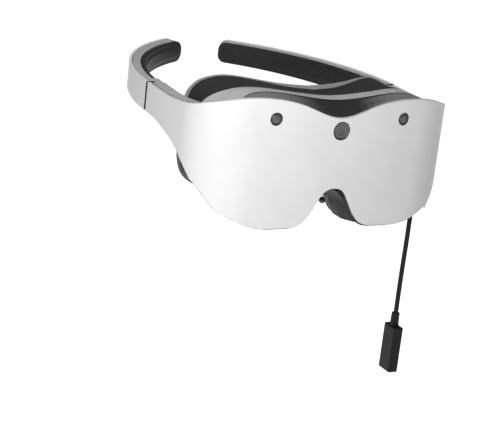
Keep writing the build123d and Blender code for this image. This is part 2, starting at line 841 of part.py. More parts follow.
def temple_band(outer, inner, start, end, height_gap):
    """A curved bar that follows the temple's plan and narrows to its tip."""
    with BuildPart() as band:
        with BuildSketch(plan(-20)):
            with BuildLine():
                outer_arc = CenterArc(TEMPLE_CENTRE, outer, start, end - start)
                inner_arc = CenterArc(TEMPLE_CENTRE, inner, start, end - start)
                Line(outer_arc @ 0, inner_arc @ 0)
                Line(outer_arc @ 1, inner_arc @ 1)
            make_face()
        extrude(amount=40)
        near = HINGE_Y + SEAM_HALF
        far = HINGE_Y + TEMPLE_R
        with BuildSketch(side(-100)):
            with BuildLine():
                Polyline(
                    (near, TEMPLE_TOP - height_gap + TOP_RISE * SEAM_HALF),
                    (far, TEMPLE_TOP - height_gap + TOP_RISE * TEMPLE_R),
                    (far, TEMPLE_FOOT + height_gap + FOOT_RISE * TEMPLE_R),
                    (near, TEMPLE_FOOT + height_gap + FOOT_RISE * SEAM_HALF),
                    close=True,
                )
            make_face()
        extrude(amount=200, mode=Mode.INTERSECT)
    return band.part


def tip_corners(band, end, reach):
    """The upper and lower corners at the tip of a temple's piece."""
    angle = math.radians(end)
    tip = place(
        TEMPLE_CENTRE[0] + reach * math.cos(angle),
        TEMPLE_CENTRE[1] + reach * math.sin(angle),
        5,
    )
    end_face = band.faces().sort_by_distance(tip)[0]
    return [edge for edge in end_face.edges() if abs((edge % 0.5).Z) < 0.3]


FRAME_OUTER = TEMPLE_R - TEMPLE_WALL - 0.4
FRAME_INNER = TEMPLE_R - TEMPLE_DEPTH + PAD_DEPTH + 0.1
SPEAKER_ANGLE = 13.0
SPEAKER_SIZE = (2.7, 12.2, 7.6)


def speaker_seat():
    """The middle of the speaker's pocket, on the plan."""
    angle = math.radians(SPEAKER_ANGLE)
    reach = FRAME_INNER + SPEAKER_SIZE[0] / 2 + 0.1
    x = TEMPLE_CENTRE[0] + reach * math.cos(angle)
    y = TEMPLE_CENTRE[1] + reach * math.sin(angle)
    return Location((x, y, 0), SPEAKER_ANGLE)


with BuildPart() as temple_shell:
    add(temple_band(TEMPLE_R, TEMPLE_R - TEMPLE_WALL, 0, TEMPLE_SWEEP, 0))
    fillet(tip_corners(temple_shell, TEMPLE_SWEEP, TEMPLE_R - 1), radius=5)
save_pair(temple_shell.part, "temple_shell")

with BuildPart() as temple_frame:
    add(temple_band(FRAME_OUTER, FRAME_INNER, 0, TEMPLE_SWEEP, 0.35))
    fillet(tip_corners(temple_frame, TEMPLE_SWEEP, FRAME_INNER + 2), radius=4.6)
    add(temple_band(FRAME_OUTER, TEMPLE_R - TEMPLE_DEPTH, 0, PAD_START, 0.35))
    add(temple_band(FRAME_OUTER + 0.38, FRAME_OUTER - 0.2, 2, TEMPLE_SWEEP - 3, 6.2))
    with BuildSketch(plan(-20)):
        with Locations((PIVOT_X, HINGE_Y)):
            Circle(POCKET_R)
        with Locations((PIVOT_X - 4, HINGE_Y)):
            Rectangle(8, 2 * POCKET_R)
    extrude(amount=20 - KNUCKLE_Z, mode=Mode.SUBTRACT)
    with BuildSketch(plan(KNUCKLE_Z)):
        with Locations((PIVOT_X, HINGE_Y)):
            Circle(POCKET_R)
        with Locations((PIVOT_X - 4, HINGE_Y)):
            Rectangle(8, 2 * POCKET_R)
    extrude(amount=20, mode=Mode.SUBTRACT)
    with BuildSketch(plan(-KNUCKLE_Z)):
        with Locations((PIVOT_X, HINGE_Y)):
            Circle(KNUCKLE_R)
    extrude(amount=2 * KNUCKLE_Z)
    with BuildSketch(plan(-KNUCKLE_Z)):
        with Locations((PIVOT_X, HINGE_Y)):
            Circle(PIN_R + RUN_CLEAR)
        with Locations(speaker_seat()):
            Rectangle(SPEAKER_SIZE[0] + 0.2, SPEAKER_SIZE[1] + 0.2)
    extrude(amount=2 * KNUCKLE_Z, mode=Mode.SUBTRACT)
save_pair(temple_frame.part, "temple_frame")

with BuildPart() as temple_speaker:
    with BuildSketch(plan(-KNUCKLE_Z)):
        with Locations(speaker_seat()):
            Rectangle(*SPEAKER_SIZE[:2])
    extrude(amount=2 * KNUCKLE_Z)
save_pair(temple_speaker.part, "temple_speaker")

with BuildPart() as hinge_bumper:
    bumper_start = PIVOT_X + POCKET_R + 0.05
    bumper_end = TEMPLE_CENTRE[0] + TEMPLE_R
    with BuildSketch(front(HINGE_Y + SEAM_HALF)):
        with Locations(((bumper_start + bumper_end) / 2, (TEMPLE_TOP + TEMPLE_FOOT) / 2)):
            Rectangle(bumper_end - bumper_start, TEMPLE_TOP - TEMPLE_FOOT)
    extrude(amount=BUMPER_WALL)
save_pair(hinge_bumper.part, "hinge_bumper")

PAD_OUTER = FRAME_INNER - 0.2
PAD_INNER = TEMPLE_R - TEMPLE_DEPTH - 0.3
with BuildPart() as temple_pad:
    add(temple_band(PAD_OUTER, PAD_INNER, PAD_START + 0.2, PAD_SWEEP, 0.5))
    fillet(tip_corners(temple_pad, PAD_SWEEP, PAD_INNER + 1.5), radius=4.6)
save_pair(temple_pad.part, "temple_pad")

with BuildPart() as hinge_pin:
    with BuildSketch(plan(TEMPLE_FOOT + 0.3)):
        with Locations((PIVOT_X, HINGE_Y)):
            Circle(PIN_R)
    extrude(amount=TEMPLE_TOP - TEMPLE_FOOT - 2.3)
save_pair(hinge_pin.part, "hinge_pin")


# ------------------------------------------------------------ cord
# The cord hangs straight under its plug's weight.
CORD_ROUTE = (
    place(CORD_X, CORD_Y, CORD_TOP),
    place(CORD_X + 0.15, CORD_Y - 0.1, -68.0),
    place(CORD_X - 0.15, CORD_Y + 0.1, -91.0),
    place(CORD_X, CORD_Y, CORD_END),
)


def bend_radii(route):
    """The largest arc that each corner's two runs leave room for."""
    radii = []
    for before, corner, after in zip(route, route[1:], route[2:]):
        run_in = Vector(*corner) - Vector(*before)
        run_out = Vector(*after) - Vector(*corner)
        turn = math.radians(run_in.get_angle(run_out))
        radii.append(0.45 * min(run_in.length, run_out.length) / math.tan(turn / 2))
    return radii


with BuildPart() as cable_gland:
    with BuildSketch(plan(CORD_TOP)):
        with Locations((CORD_X, CORD_Y)):
            Circle(GLAND_R - 0.05)
    extrude(amount=9.5)
    with BuildSketch(plan(CORD_TOP)):
        with Locations((CORD_X, CORD_Y)):
            Circle(CORD_R + 0.6)
    extrude(amount=-3.0, taper=8)
save(cable_gland.part, "cable_gland")

cord_start = place(CORD_X, CORD_Y, CORD_TOP - 3.0)
route = (cord_start,) + CORD_ROUTE[1:]
radii = bend_radii(route)
print("cord radii", [round(radius) for radius in radii])
with BuildLine() as cord_path:
    FilletPolyline(*route, radius=radii)
with BuildPart() as cord:
    with BuildSketch(Plane(cord_path.line @ 0, z_dir=cord_path.line % 0)):
        Circle(CORD_R)
    sweep(path=cord_path.line)
save(cord.part, "cord")
tube_volume = math.pi * CORD_R**2 * cord_path.wire().length
print("cord length", round(cord_path.wire().length, 1))
print("cord volume over section times length", round(cord.part.volume / tube_volume, 3))

with BuildPart() as cord_relief:
    with BuildSketch(plan(CORD_END)):
        with Locations((CORD_X, CORD_Y)):
            Circle(CORD_R + 1.0)
    with BuildSketch(plan(CORD_END - RELIEF_LENGTH)):
        with Locations((CORD_X, CORD_Y)):
            Circle(CORD_R + 1.25)
    loft()
save(cord_relief.part, "cord_relief")

PLUG_TOP = CORD_END - RELIEF_LENGTH
SOCKET_DEPTH = 7.0
with BuildPart() as connector_body:
    with BuildSketch(plan(PLUG_TOP)):
        with Locations((CORD_X, CORD_Y)):
            RectangleRounded(PLUG_SIZE[0], PLUG_SIZE[1], 1.2)
    extrude(amount=-PLUG_SIZE[2])
    fillet(connector_body.edges().group_by(Axis.Z)[-1], radius=1.0)
    fillet(connector_body.edges().group_by(Axis.Z)[0], radius=0.5)
    with BuildSketch(plan(PLUG_TOP - PLUG_SIZE[2])):
        with Locations((CORD_X, CORD_Y)):
            SlotOverall(9.2, 3.4, rotation=90)
    extrude(amount=SOCKET_DEPTH, mode=Mode.SUBTRACT)
save(connector_body.part, "connector_body")

with BuildPart() as connector_socket:
    with BuildSketch(plan(PLUG_TOP - PLUG_SIZE[2] + 0.2)):
        with Locations((CORD_X, CORD_Y)):
            SlotOverall(9.2, 3.4, rotation=90)
            SlotOverall(8.6, 2.8, rotation=90, mode=Mode.SUBTRACT)
    extrude(amount=SOCKET_DEPTH - 0.2)
    with BuildSketch(plan(PLUG_TOP - PLUG_SIZE[2] + SOCKET_DEPTH)):
        with Locations((CORD_X, CORD_Y)):
            SlotOverall(8.8, 3.0, rotation=90)
    extrude(amount=-0.8)
    with BuildSketch(plan(PLUG_TOP - PLUG_SIZE[2] + 0.6)):
        with Locations((CORD_X, CORD_Y)):
            Rectangle(0.8, 6.7)
    extrude(amount=SOCKET_DEPTH - 0.6)
save(connector_socket.part, "connector_socket")
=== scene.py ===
"""A head-worn virtual reality headset with folding temples and a short cord."""

import json
import math

import bpy
from mathutils import Matrix, Vector


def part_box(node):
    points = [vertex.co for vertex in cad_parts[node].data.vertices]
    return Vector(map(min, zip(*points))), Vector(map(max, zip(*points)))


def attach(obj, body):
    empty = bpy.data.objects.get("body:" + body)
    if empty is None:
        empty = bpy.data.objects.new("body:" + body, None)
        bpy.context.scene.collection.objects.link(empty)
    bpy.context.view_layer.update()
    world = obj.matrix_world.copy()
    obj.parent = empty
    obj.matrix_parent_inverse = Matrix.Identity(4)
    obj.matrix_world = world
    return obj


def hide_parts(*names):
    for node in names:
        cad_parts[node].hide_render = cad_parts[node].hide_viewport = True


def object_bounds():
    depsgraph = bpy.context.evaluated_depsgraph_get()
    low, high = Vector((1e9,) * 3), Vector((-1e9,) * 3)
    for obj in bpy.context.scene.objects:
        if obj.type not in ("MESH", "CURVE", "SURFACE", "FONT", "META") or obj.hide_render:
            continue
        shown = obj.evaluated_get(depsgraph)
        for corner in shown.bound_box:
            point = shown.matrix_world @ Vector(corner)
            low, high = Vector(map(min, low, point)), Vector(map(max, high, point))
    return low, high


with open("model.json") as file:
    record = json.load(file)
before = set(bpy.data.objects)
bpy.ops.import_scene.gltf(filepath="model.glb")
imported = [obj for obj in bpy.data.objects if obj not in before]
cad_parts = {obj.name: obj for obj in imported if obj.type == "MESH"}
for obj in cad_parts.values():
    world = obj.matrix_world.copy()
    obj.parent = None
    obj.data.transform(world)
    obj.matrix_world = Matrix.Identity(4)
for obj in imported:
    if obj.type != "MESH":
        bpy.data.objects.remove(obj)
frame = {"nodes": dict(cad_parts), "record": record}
cad_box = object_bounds()

MM = 0.001
AXIS_Y = Vector((0, 1, 0))
AXIS_Z = Vector((0, 0, 1))

# The middle of the front panel's outer face. Lines and profiles below are in
# millimetres from here: across, depth behind the panel, height.
PANEL_Z = 0.016
PANEL_MIDDLE = Vector((0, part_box("front_panel")[0].y, PANEL_Z))

# The camera: its turn in degrees, and where the panel's middle lies from it
CAMERA_AZIMUTH, CAMERA_ELEVATION, CAMERA_ROLL = -28.25, 16.12, 6.56
CAMERA_LENS = 109.46
PANEL_RIGHT, PANEL_UP, PANEL_AWAY = 53.26, 44.98, 800.15

WORLD_STRENGTH = 0.17
# Area lights, in metres: name, position, target, size, watts
LIGHTS = (
    ("key", (-0.27, -0.36, 0.17), (-0.03, -0.02, 0.0), (0.22, 0.22), 2.2),
    ("top", (-0.15, 0.2, 0.7), (0.0, 0.04, 0.0), (0.6, 0.5), 2.2),
    ("rim", (0.55, 0.10, 0.15), (0.05, -0.01, 0.0), (0.3, 0.5), 0.35),
)
FLOOR_HALF = 6.0
FLOOR_DROP = 0.012

# Half of the face mask's outline and of the opening in its cushion, from the
# forehead to the nose: across, height
MASK_LINE = (
    (0, 15.4),
    (15, 16.3),
    (30, 17.8),
    (41, 18.5),
    (50, 17.7),
    (60, 14),
    (67.0, 8.4),
    (70.6, -1),
    (70.8, -12),
    (71, -26),
    (66, -38.5),
    (56.5, -46),
    (42, -50.5),
    (26, -51.3),
    (19.8, -50.0),
)
CUSHION_LINE = (
    (0, 8.4),
    (30, 10.6),
    (48, 9.8),
    (59.5, 2),
    (62.5, -14),
    (57, -31),
    (42, -42),
    (24, -42.5),
    (16.5, -39.4),
)
MASK_STATIONS = 110

# The frame's rear edge and the cushion's two faces, seen from above: across, depth
FRAME_LINE = ((0, 19.2), (15, 19.5), (30, 21.0), (45, 24.9), (60, 32.2), (75, 40.8))
RIM_FRONT_LINE = (
    (0, 34.7),
    (15, 37.5),
    (30, 44.8),
    (45, 53.9),
    (58, 58.4),
    (67.5, 55.0),
    (75, 46.5),
)
RIM_REAR_LINE = ((0, 46.1), (15, 46.8), (30, 50.0), (45, 57.0), (58, 62.4), (68, 59.5), (76, 51.0))

# The nose tunnel: depth, half width at the foot, crown, foot
NOSE_STATIONS = (
    (3.3, 19.0, -32.9, -53.2),
    (12.0, 15.6, -32.3, -53.8),
    (21.0, 14.2, -31.8, -52.9),
)
# Its arch, as shares of the half width and of the height from foot to crown
NOSE_ARCH = (
    (1.0, 0.0),
    (0.74, 0.30),
    (0.5, 0.69),
    (0.0, 1.0),
    (-0.5, 0.69),
    (-0.74, 0.30),
    (-1.0, 0.0),
)

# A nose pad's half section, from its back to its dished face: share of the way
# out, share of the thickness
NOSE_PAD_TILT = 28
NOSE_PAD_HALF_DEPTH, NOSE_PAD_HALF_HEIGHT, NOSE_PAD_THICKNESS = 4.2, 6.0, 2.4
NOSE_PAD_PROFILE = (
    (0.02, -0.5),
    (0.5, -0.5),
    (0.82, -0.48),
    (0.95, -0.34),
    (1.0, 0),
    (0.96, 0.36),
    (0.84, 0.5),
    (0.68, 0.42),
    (0.45, 0.26),
    (0.2, 0.2),
    (0.02, 0.19),
)

# The temples follow an arc whose middle lies beyond the other side. A pad has an
# outer and an inner radius, a first and a last angle, and edges with a slope.
TEMPLE_MIDDLE = (-51.95, 80.0)
PAD_ARC = (126.8, 123.3)
PAD_ANGLES = (4.2, 58.4)
PAD_TOP = (8.1, 0.035)
PAD_FOOT = (-7.2, 0.055)

# The top cover's painted reflection and shade, lighter at the sides and near black in the middle: share
# of the way across, grey level
COVER_HALF = 80.0
COVER_PAINTED_REFLECTION = ((0.0, 0.2), (0.3, 0.14), (0.42, 0.02), (0.58, 0.02), (0.7, 0.14), (1.0, 0.2))

# Steps on the camera windows: share of the radius, height over the face
CENTRE_RINGS = (
    (0.88, 0.0),
    (0.86, -0.2),
    (0.64, -0.24),
    (0.6, -0.12),
    (0.52, -0.14),
    (0.5, -0.3),
    (0.38, -0.34),
    (0.34, -0.2),
    (0.28, -0.2),
    (0.26, -0.34),
    (0.14, -0.26),
    (0.02, -0.24),
)
SIDE_RINGS = (
    (0.84, 0.0),
    (0.8, -0.22),
    (0.66, -0.24),
    (0.64, -0.14),
    (0.5, -0.1),
    (0.3, 0.0),
    (0.02, 0.04),
)

CORD_DIAMETER = 2.8
CORD_EXIT = (62.6, 15.0, -49.5)
CORD_ROUTE = (CORD_EXIT, (62.75, 14.9, -68.0), (62.45, 15.1, -91.0), (62.6, 15.0, -114.0))


def place(across, depth, height):
    """A point in metres in the row frame."""
    return PANEL_MIDDLE + Vector((across, depth, height)) * MM


# ------------------------------------------------------------ camera, light
def make_camera():
    azimuth = math.radians(CAMERA_AZIMUTH)
    elevation = math.radians(CAMERA_ELEVATION)
    roll = math.radians(CAMERA_ROLL)
    back = Vector((
        math.sin(azimuth) * math.cos(elevation),
        -math.cos(azimuth) * math.cos(elevation),
        math.sin(elevation),
    ))
    level = AXIS_Z.cross(back).normalized()
    upright = back.cross(level)
    right = level * math.cos(roll) + upright * math.sin(roll)
    up = upright * math.cos(roll) - level * math.sin(roll)
    data = bpy.data.cameras.new("camera")
    data.lens = CAMERA_LENS
    data.sensor_width = 36.0
    data.clip_end = 20.0
    camera = bpy.data.objects.new("camera", data)
    bpy.context.collection.objects.link(camera)
    position = PANEL_MIDDLE - (right * PANEL_RIGHT + up * PANEL_UP - back * PANEL_AWAY) * MM
    turn = Matrix((right, up, back)).transposed().to_4x4()
    camera.matrix_world = Matrix.Translation(position) @ turn
    bpy.context.scene.camera = camera


def make_light(name, position, target, size, power):
    data = bpy.data.lights.new(name, "AREA")
    data.shape = "RECTANGLE"
    data.size, data.size_y = size
    data.energy = power
    light = bpy.data.objects.new(name, data)
    bpy.context.collection.objects.link(light)
    aim = (Vector(position) - Vector(target)).to_track_quat("Z", "Y")
    light.matrix_world = Matrix.Translation(position) @ aim.to_matrix().to_4x4()


def make_world():
    world = bpy.data.worlds.new("world")
    world.use_nodes = True
    background = world.node_tree.nodes["Background"]
    background.inputs["Color"].default_value = (1, 1, 1, 1)
    background.inputs["Strength"].default_value = WORLD_STRENGTH
    bpy.context.scene.world = world


def make_floor():
    """A pale floor under the connector, bright enough to fade into the backdrop."""
    half = FLOOR_HALF
    height = cad_box[0][2] - FLOOR_DROP
    mesh = bpy.data.meshes.new("floor")
    corners = [
        (-half, -half, height),
        (half, -half, height),
        (half, half, height),
        (-half, half, height),
    ]
    mesh.from_pydata(corners, [], [(0, 1, 2, 3)])
    floor = bpy.data.objects.new("floor", mesh)
    bpy.context.collection.objects.link(floor)
    material = bpy.data.materials.new("floor")
    material.use_nodes = True
    shader = material.node_tree.nodes["Principled BSDF"]
    shader.inputs["Base Color"].default_value = (0.86, 0.86, 0.86, 1)
    shader.inputs["Roughness"].default_value = 0.9
    shader.inputs["Emission Color"].default_value = (1, 1, 1, 1)
    shader.inputs["Emission Strength"].default_value = 0.9
    mesh.materials.append(material)
    floor.visible_diffuse = False


# ------------------------------------------------------------ materials
class Surface:
    """A procedural material on the Principled shader."""

    def __init__(self, name, roughness, **constants):
        self.material = bpy.data.materials.new(name)
        self.material.use_nodes = True
        self.tree = self.material.node_tree
        self.shader = self.tree.nodes["Principled BSDF"]
        self.shader.inputs["Roughness"].default_value = roughness
        for socket, value in constants.items():
            self.shader.inputs[socket.replace("_", " ")].default_value = value
        self.coordinates = self.tree.nodes.new("ShaderNodeTexCoord").outputs["Object"]
        self.normal = None

    def link(self, output, target):
        self.tree.links.new(output, target)

    def texture(self, kind, size, stretch):
        """A texture node whose features are about size millimetres wide."""
        mapping = self.tree.nodes.new("ShaderNodeMapping")
        mapping.inputs["Scale"].default_value = stretch
        self.link(self.coordinates, mapping.inputs["Vector"])
        texture = self.tree.nodes.new(kind)
        texture.inputs["Scale"].default_value = 1 / (size * MM)
        self.link(mapping.outputs["Vector"], texture.inputs["Vector"])
        return texture

    def noise(self, size, detail=3.0, stretch=(1, 1, 1)):
        noise = self.texture("ShaderNodeTexNoise", size, stretch)
        noise.inputs["Detail"].default_value = detail
        return noise.outputs["Fac"]

    def cells(self, size, stretch=(1, 1, 1)):
        """Small rounded cells."""
        return self.texture("ShaderNodeTexVoronoi", size, stretch).outputs["Distance"]

    def ramp(self, value, stops):
        """Base colour from a value, through pairs of position and colour."""
        ramp = self.tree.nodes.new("ShaderNodeValToRGB")
        while len(ramp.color_ramp.elements) < len(stops):
            ramp.color_ramp.elements.new(0.5)
        for element, (position, color) in zip(ramp.color_ramp.elements, stops):
            element.position = position
            element.color = (*color, 1)
        self.link(value, ramp.inputs["Fac"])
        self.link(ramp.outputs["Color"], self.shader.inputs["Base Color"])
        return self

    def color(self, value, low, high, stops=(0.35, 0.65)):
        return self.ramp(value, ((stops[0], low), (stops[1], high)))

    def vary_roughness(self, value, low, high):
        spread = self.tree.nodes.new("ShaderNodeMapRange")
        spread.inputs["To Min"].default_value = low
        spread.inputs["To Max"].default_value = high
        self.link(value, spread.inputs["Value"])
        self.link(spread.outputs["Result"], self.shader.inputs["Roughness"])
        return self

    def round_edges(self, radius):
        bevel = self.tree.nodes.new("ShaderNodeBevel")
        bevel.samples = 4
        bevel.inputs["Radius"].default_value = radius * MM
        self.normal = bevel.outputs["Normal"]
        self.link(self.normal, self.shader.inputs["Normal"])
        return self

    def bump(self, value, depth, strength=1.0):
        bump = self.tree.nodes.new("ShaderNodeBump")
        bump.inputs["Strength"].default_value = strength
        bump.inputs["Distance"].default_value = depth * MM
        self.link(value, bump.inputs["Height"])
        if self.normal is not None:
            self.link(self.normal, bump.inputs["Normal"])
        self.normal = bump.outputs["Normal"]
        self.link(self.normal, self.shader.inputs["Normal"])
        return self


def grey(level):
    return (level, level, level)


def painted_white():
    skin = Surface("white_shell", 0.4, Coat_Weight=0.2, Coat_Roughness=0.3)
    skin.color(skin.noise(22.0), grey(0.74), grey(0.77))
    skin.vary_roughness(skin.noise(3.0), 0.36, 0.44)
    return skin.round_edges(0.6).bump(skin.noise(0.18, 2.0), 0.006, 0.25)


def moulded(name, level, roughness, grain, depth, edge=0.25, shine=0.4):
    """Moulded plastic with a fine spark-eroded grain."""
    skin = Surface(name, roughness, Specular_IOR_Level=shine)
    skin.color(skin.noise(9.0), grey(level * 0.94), grey(level * 1.06))
    skin.vary_roughness(skin.noise(1.6), roughness - 0.06, roughness + 0.06)
    return skin.round_edges(edge).bump(skin.noise(grain, 2.0), depth, 0.6)


def cover_with_painted_reflection():
    """Glossy moulded grey with painted reflection and shade: lighter at the sides, darker towards the
    middle.
    """
    skin = moulded("cover_grey", 0.06, 0.3, 0.2, 0.01)
    # Painted reflection and shade: the grey level is set by position across the cover, grey along the
    # sides and near black across the middle.
    split = skin.tree.nodes.new("ShaderNodeSeparateXYZ")
    skin.link(skin.coordinates, split.inputs["Vector"])
    spread = skin.tree.nodes.new("ShaderNodeMapRange")
    spread.inputs["From Min"].default_value = -COVER_HALF * MM
    spread.inputs["From Max"].default_value = COVER_HALF * MM
    skin.link(split.outputs["X"], spread.inputs["Value"])
    painted_reflection_stops = [(position, grey(level)) for position, level in COVER_PAINTED_REFLECTION]
    return skin.ramp(spread.outputs["Result"], painted_reflection_stops)


def rubber(name, level, roughness, grain=0.3, depth=0.02, shine=0.25):
    """Silicone or rubber, softly mottled and slightly dusty."""
    skin = Surface(name, roughness, Specular_IOR_Level=shine)
    skin.color(skin.noise(5.0, 5.0), grey(level * 0.88), grey(level * 1.14))
    skin.vary_roughness(skin.noise(2.2), roughness - 0.08, roughness + 0.08)
    return skin.bump(skin.noise(grain, 3.0), depth, 0.6)


def knitted(name, level, stitch):
    """Fine knitted cover over foam."""
    skin = Surface(name, 0.86, Sheen_Weight=0.15, Sheen_Roughness=0.6)
    loops = skin.cells(stitch, (1.0, 1.0, 1.5))
    skin.color(loops, grey(level * 1.15), grey(level * 0.72), (0.1, 0.8))
    skin.bump(loops, -0.10, 0.7)
    return skin.bump(skin.noise(1.8), 0.08, 0.5)


def metal(name, color, roughness, grain=0.12, stretch=(1, 1, 1)):
    skin = Surface(name, roughness, Metallic=1.0)
    low = tuple(channel * 0.9 for channel in color)
    skin.color(skin.noise(0.8, 4.0, stretch), low, color)
    skin.vary_roughness(skin.noise(0.5, 3.0, stretch), roughness - 0.08, roughness + 0.08)
    return skin.bump(skin.noise(grain, 2.0, stretch), 0.006, 0.5)


def glossy(name, level, roughness=0.06):
    skin = Surface(name, roughness, Coat_Weight=0.6, Coat_Roughness=0.03)
    skin.color(skin.noise(1.2), grey(level * 0.9), grey(level * 1.1))
    return skin.vary_roughness(skin.noise(0.7), roughness * 0.6, roughness * 1.6)


def clear_glass():
    skin = Surface("optic_glass", 0.02, Transmission_Weight=1.0, IOR=1.5)
    skin.color(skin.noise(8.0), (0.93, 0.96, 0.97), (0.97, 0.985, 0.99))
    return skin.vary_roughness(skin.noise(2.5), 0.01, 0.035)


def circuit_green():
    skin = Surface("board_green", 0.4, Coat_Weight=0.3)
    tracks = skin.cells(1.4, (1, 2.6, 1))
    skin.color(tracks, (0.01, 0.09, 0.035), (0.02, 0.2, 0.08), (0.3, 0.42))
    return skin.bump(skin.cells(0.9, (1, 3, 1)), 0.03, 0.5)


def materials():
    """One material for each slot of the record."""
    return {
        "white_shell": painted_white(),
        "light_grey": moulded("light_grey", 0.42, 0.42, 0.2, 0.01),
        "frame_grey": moulded("frame_grey", 0.41, 0.4, 0.22, 0.012),
        "cover_grey": cover_with_painted_reflection(),
        "dark_plastic": moulded("dark_plastic", 0.015, 0.5, 0.25, 0.015, shine=0.25),
        "black_plastic": moulded("black_plastic", 0.014, 0.48, 0.25, 0.015),
        "plug_black": moulded("plug_black", 0.012, 0.46, 0.3, 0.02, 0.3, 0.12),
        "ring_black": moulded("ring_black", 0.018, 0.5, 0.2, 0.015),
        "cushion_grey": knitted("cushion_grey", 0.2, 0.55),
        "dark_rubber": rubber("dark_rubber", 0.021, 0.5, shine=0.12),
        "nose_grey": rubber("nose_grey", 0.2, 0.5, 0.25),
        "cord_black": rubber("cord_black", 0.012, 0.5, 0.2, shine=0.12),
        "black_metal": metal("black_metal", grey(0.05), 0.3),
        "camera_glass": glossy("camera_glass", 0.055, 0.35),
        "display_black": glossy("display_black", 0.012, 0.1),
        "optic_glass": clear_glass(),
        "steel": metal("steel", grey(0.62), 0.3, stretch=(1, 1, 6)),
        "brass": metal("brass", (0.68, 0.46, 0.18), 0.32),
        "aluminium": metal("aluminium", grey(0.7), 0.36, stretch=(6, 1, 1)),
        "board_green": circuit_green(),
    }


def paint_nodes(skins):
    slots = {part["node"]: part["material_slot"] for part in frame["record"]["subparts"]}
    for node, item in frame["nodes"].items():
        item.data.materials.clear()
        item.data.materials.append(skins[slots[node]].material)


# ------------------------------------------------------------ shapes
def smooth_line(points, count):
    """Evenly spaced points on a smooth line through the given ones."""
    points = [Vector(point) for point in points]
    ends = [2 * points[0] - points[1], *points, 2 * points[-1] - points[-2]]
    fine = []
    spans = 16
    for a, b, c, d in zip(ends, ends[1:], ends[2:], ends[3:]):
        for step in range(spans):
            t = step / spans
            bend = (2 * a - 5 * b + 4 * c - d) * t * t + (3 * b - a - 3 * c + d) * t**3
            fine.append((2 * b + (c - a) * t + bend) / 2)
    fine.append(points[-1])
    return respaced(fine, count)


def respaced(fine, count):
    """The same line with its points evenly spaced."""
    travelled = [0.0]
    for before, after in zip(fine, fine[1:]):
        travelled.append(travelled[-1] + (after - before).length)
    spaced = []
    segment = 0
    for index in range(count):
        goal = travelled[-1] * index / (count - 1)
        while segment < len(fine) - 2 and travelled[segment + 1] < goal:
            segment += 1
        share = (goal - travelled[segment]) / (travelled[segment + 1] - travelled[segment])
        spaced.append(fine[segment].lerp(fine[segment + 1], min(share, 1.0)))
    return spaced


def depth_on(line):
    """The depth of a line seen from above, at any distance across."""
    fine = smooth_line(line, 120)

    def depth(across):
        across = abs(across)
        for near, far in zip(fine, fine[1:]):
            if across <= far.x:
                share = (across - near.x) / (far.x - near.x)
                return near.y + (far.y - near.y) * share
        return fine[-1].y

    return depth


def blended(a, b, share):
    return a + (b - a) * share


def eased(share):
    share = min(max(share, 0.0), 1.0)
    return share * share * (3 - 2 * share)


def new_piece(name, vertices, faces, skin, body, slot, stands_for=()):
    mesh = bpy.data.meshes.new(name)
    mesh.from_pydata(vertices, [], faces)
    mesh.validate()
    mesh.update()
    mesh.materials.append(skin.material)
    piece = bpy.data.objects.new(name, mesh)
    bpy.context.collection.objects.link(piece)
    for polygon in mesh.polygons:
        polygon.use_smooth = True
    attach(piece, body)
    if stands_for:
        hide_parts(*stands_for)
    return piece


def lofted(rings):
    """Vertices and faces of a closed body through rings of equal length."""
    size = len(rings[0])
    vertices = [point for ring in rings for point in ring]
    faces = []
    for row in range(len(rings) - 1):
        for column in range(size):
            after = (column + 1) % size
            near, far = row * size, (row + 1) * size
            faces.append((near + column, near + after, far + after, far + column))
    for row, flipped in ((0, True), (len(rings) - 1, False)):
        middle = len(vertices)
        ring = rings[row]
        vertices.append(sum(ring, Vector()) / size)
        for column in range(size):
            corner = (row * size + column, row * size + (column + 1) % size)
            faces.append((middle, *reversed(corner)) if flipped else (middle, *corner))
    return vertices, faces


def face_outward(piece):
    """Turn the faces so that they point out of the body."""
    mesh = piece.data
    volume = 0.0
    for polygon in mesh.polygons:
        corners = [mesh.vertices[index].co for index in polygon.vertices]
        for second, third in zip(corners[1:], corners[2:]):
            volume += corners[0].dot(second.cross(third))
    if volume < 0:
        mesh.flip_normals()
    return piece


def both_sides(half):
    """A line over the forehead from one end at the nose to the other."""
    mirrored = [Vector((-point.x, point.y)) for point in reversed(half[1:])]
    return mirrored + half


def outward(line, index):
    """The way out of an outline that runs from the nose's right to its left."""
    before = line[max(index - 1, 0)]
    after = line[min(index + 1, len(line) - 1)]
    along = (after - before).normalized()
    return Vector((-along.y, along.x))


# ------------------------------------------------------------ soft pieces
def cushion_section(width, shoulder):
    """The foam's section, as two runs over its front and rear face.

    Each point has a distance in from the outer edge and a depth behind its face.
    """
    steps = 6
    crown = 0.5
    seam = 1.5
    seam_half = 0.3
    edge = 0.4
    corner = (0.05, 0.45)
    quarter = [math.radians(90 * step / steps) for step in range(steps + 1)]
    inner_front = [(edge + (width - 2 * edge) * step / steps, 0) for step in range(steps + 1)]
    inner_front += [(width - corner[0], corner[1]), (width, seam - 0.35)]
    rear = []
    for turn in quarter:
        rear.append((width - shoulder * (1 - math.cos(turn)), -shoulder * (1 - math.sin(turn)) - crown))
    for step in range(1, steps):
        share = step / steps
        inset = blended(width - shoulder, shoulder, share)
        rear.append((inset, -crown * (1 - math.sin(math.pi * share))))
    for turn in reversed(quarter):
        rear.append((shoulder * (1 - math.cos(turn)), -shoulder * (1 - math.sin(turn)) - crown))
    outer_front = [(0, seam + seam_half), (seam_half, seam), (0, seam - seam_half), corner]
    return inner_front, rear, outer_front


